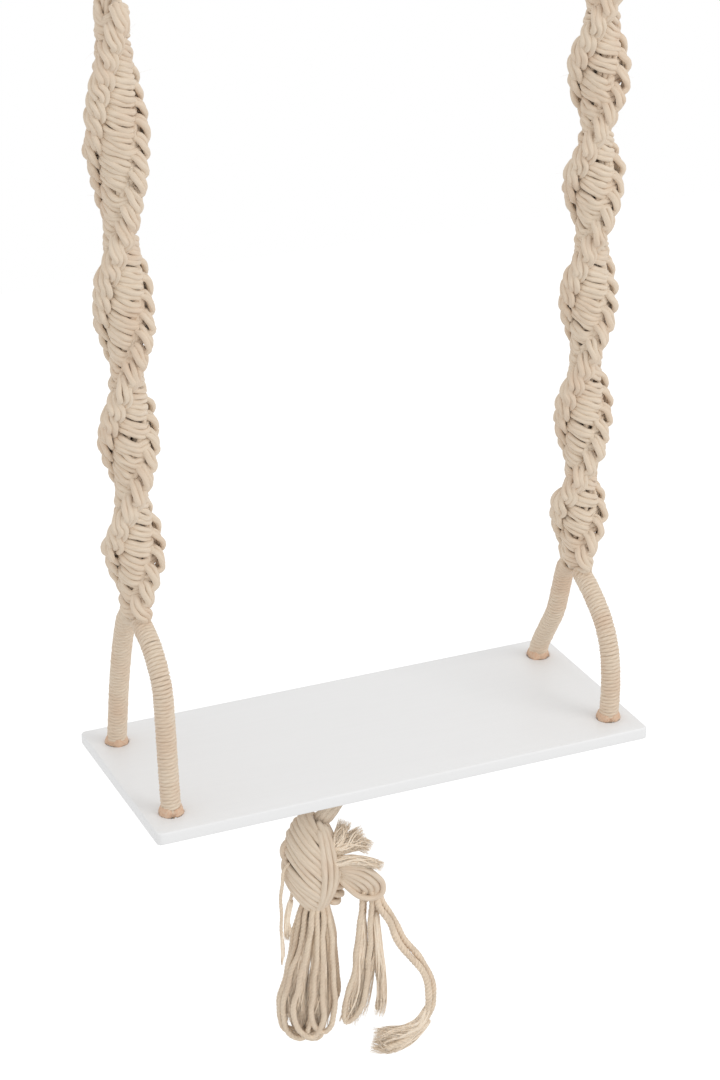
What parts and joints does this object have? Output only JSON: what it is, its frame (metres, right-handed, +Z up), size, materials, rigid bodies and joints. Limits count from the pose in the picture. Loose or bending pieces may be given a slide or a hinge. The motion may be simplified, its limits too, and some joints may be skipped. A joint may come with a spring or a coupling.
{
  "type": "hanging rope shelf",
  "caption": "Painted board hung level from knotted spiral cotton straps that part into whipped legs, with a large overhand knot and tassel of cords under it.",
  "frame": {"origin": "over the board's middle, on the line through the inner crowns of the two hanging loops", "axes": "+Z up, +X along the board to the right as seen from the front, +Y from the front edge to the back edge"},
  "size_m": [0.462, 0.195, 1.0717],
  "materials": {
    "painted_board": "white satin paint over smooth wood, edges eased",
    "cotton_cord": "undyed loosely laid cotton cord, matt and slightly fluffy",
    "whipping_cord": "thin undyed cotton cord wound close, matt",
    "frayed_cotton": "cut and frayed cotton ends, matt fibres"
  },
  "bodies": {
    "hanging_loops": {"left_hanging_loop": "whipping_cord", "right_hanging_loop": "whipping_cord"},
    "left_wrap": {"left_loop_bundle": "cotton_cord", "left_loop_wrap": "whipping_cord"},
    "right_wrap": {"right_loop_bundle": "cotton_cord", "right_loop_wrap": "whipping_cord"},
    "left_strap": {"left_strap_core": "cotton_cord", "left_strap_cord_a": "cotton_cord", "left_strap_cord_b": "cotton_cord", "left_front_leg_cord": "cotton_cord", "left_front_leg_whipping": "whipping_cord", "left_back_leg_cord": "cotton_cord", "left_back_leg_whipping": "whipping_cord"},
    "right_strap": {"right_strap_core": "cotton_cord", "right_strap_cord_a": "cotton_cord", "right_strap_cord_b": "cotton_cord", "right_front_leg_cord": "cotton_cord", "right_front_leg_whipping": "whipping_cord", "right_back_leg_cord": "cotton_cord", "right_back_leg_whipping": "whipping_cord"},
    "shelf": {"shelf_board": "painted_board", "left_front_frayed_end": "frayed_cotton", "left_back_frayed_end": "frayed_cotton", "right_front_frayed_end": "frayed_cotton", "right_back_frayed_end": "frayed_cotton", "left_front_sling": "cotton_cord", "left_back_sling": "cotton_cord", "right_front_sling": "cotton_cord", "right_back_sling": "cotton_cord", "tassel_knot": "cotton_cord", "turned_loop": "cotton_cord", "upper_tuft": "frayed_cotton", "lower_tuft": "frayed_cotton", "loose_end": "cotton_cord", "short_end": "cotton_cord"},
    "skein_pivot": {"skein_throat": "cotton_cord"},
    "skein": {"skein_loop_1": "cotton_cord", "skein_loop_2": "cotton_cord", "skein_loop_3": "cotton_cord", "skein_loop_4": "cotton_cord", "skein_loop_5": "cotton_cord"},
    "side_pivot": {"side_skein_throat": "cotton_cord"},
    "side_skein": {"side_skein_loop": "cotton_cord", "side_skein_end_a": "cotton_cord", "side_skein_end_b": "cotton_cord", "long_end_a": "cotton_cord", "long_end_b": "cotton_cord"}
  },
  "joints": [
    {"name": "swing", "type": "hinge", "parent": "hanging_loops", "child": "left_wrap", "pos_m": [-0.202, 0, -0.06535], "axis": [1, 0, 0], "range_deg": [-15, 15]},
    {"name": "right_swing", "type": "hinge", "parent": "hanging_loops", "child": "right_wrap", "pos_m": [0.213, 0, -0.06535], "axis": [1, 0, 0], "range_deg": [-15, 15]},
    {"name": "sway", "type": "hinge", "parent": "left_wrap", "child": "left_strap", "pos_m": [-0.202, 0, -0.1092], "axis": [0, 1, 0], "range_deg": [-8, 8]},
    {"name": "board_level", "type": "hinge", "parent": "left_strap", "child": "shelf", "pos_m": [-0.202, 0, -0.7755], "axis": [0, 1, 0], "range_deg": [-8, 8]},
    {"name": "right_sway", "type": "hinge", "parent": "shelf", "child": "right_strap", "pos_m": [0.202, 0, -0.7755], "axis": [0, 1, 0], "range_deg": [-8, 8]},
    {"name": "skein_swing", "type": "hinge", "parent": "shelf", "child": "skein_pivot", "pos_m": [-0.06324, -0.03638, -0.919], "axis": [1, 0, 0], "range_deg": [-12, 12]},
    {"name": "skein_sway", "type": "hinge", "parent": "skein_pivot", "child": "skein", "pos_m": [-0.06324, -0.03638, -0.919], "axis": [0, 1, 0], "range_deg": [-12, 12]},
    {"name": "side_swing", "type": "hinge", "parent": "shelf", "child": "side_pivot", "pos_m": [-0.02021, -0.05527, -0.901], "axis": [1, 0, 0], "range_deg": [-12, 12]},
    {"name": "side_sway", "type": "hinge", "parent": "side_pivot", "child": "side_skein", "pos_m": [-0.02021, -0.05527, -0.901], "axis": [0, 1, 0], "range_deg": [-12, 12]}
  ],
  "couplings": [
    {"joint": "right_swing", "follows": "swing", "ratio": 1},
    {"joint": "board_level", "follows": "sway", "ratio": -1},
    {"joint": "right_sway", "follows": "sway", "ratio": 1},
    {"joint": "side_swing", "follows": "skein_swing", "ratio": 1},
    {"joint": "side_sway", "follows": "skein_sway", "ratio": 1}
  ]
}
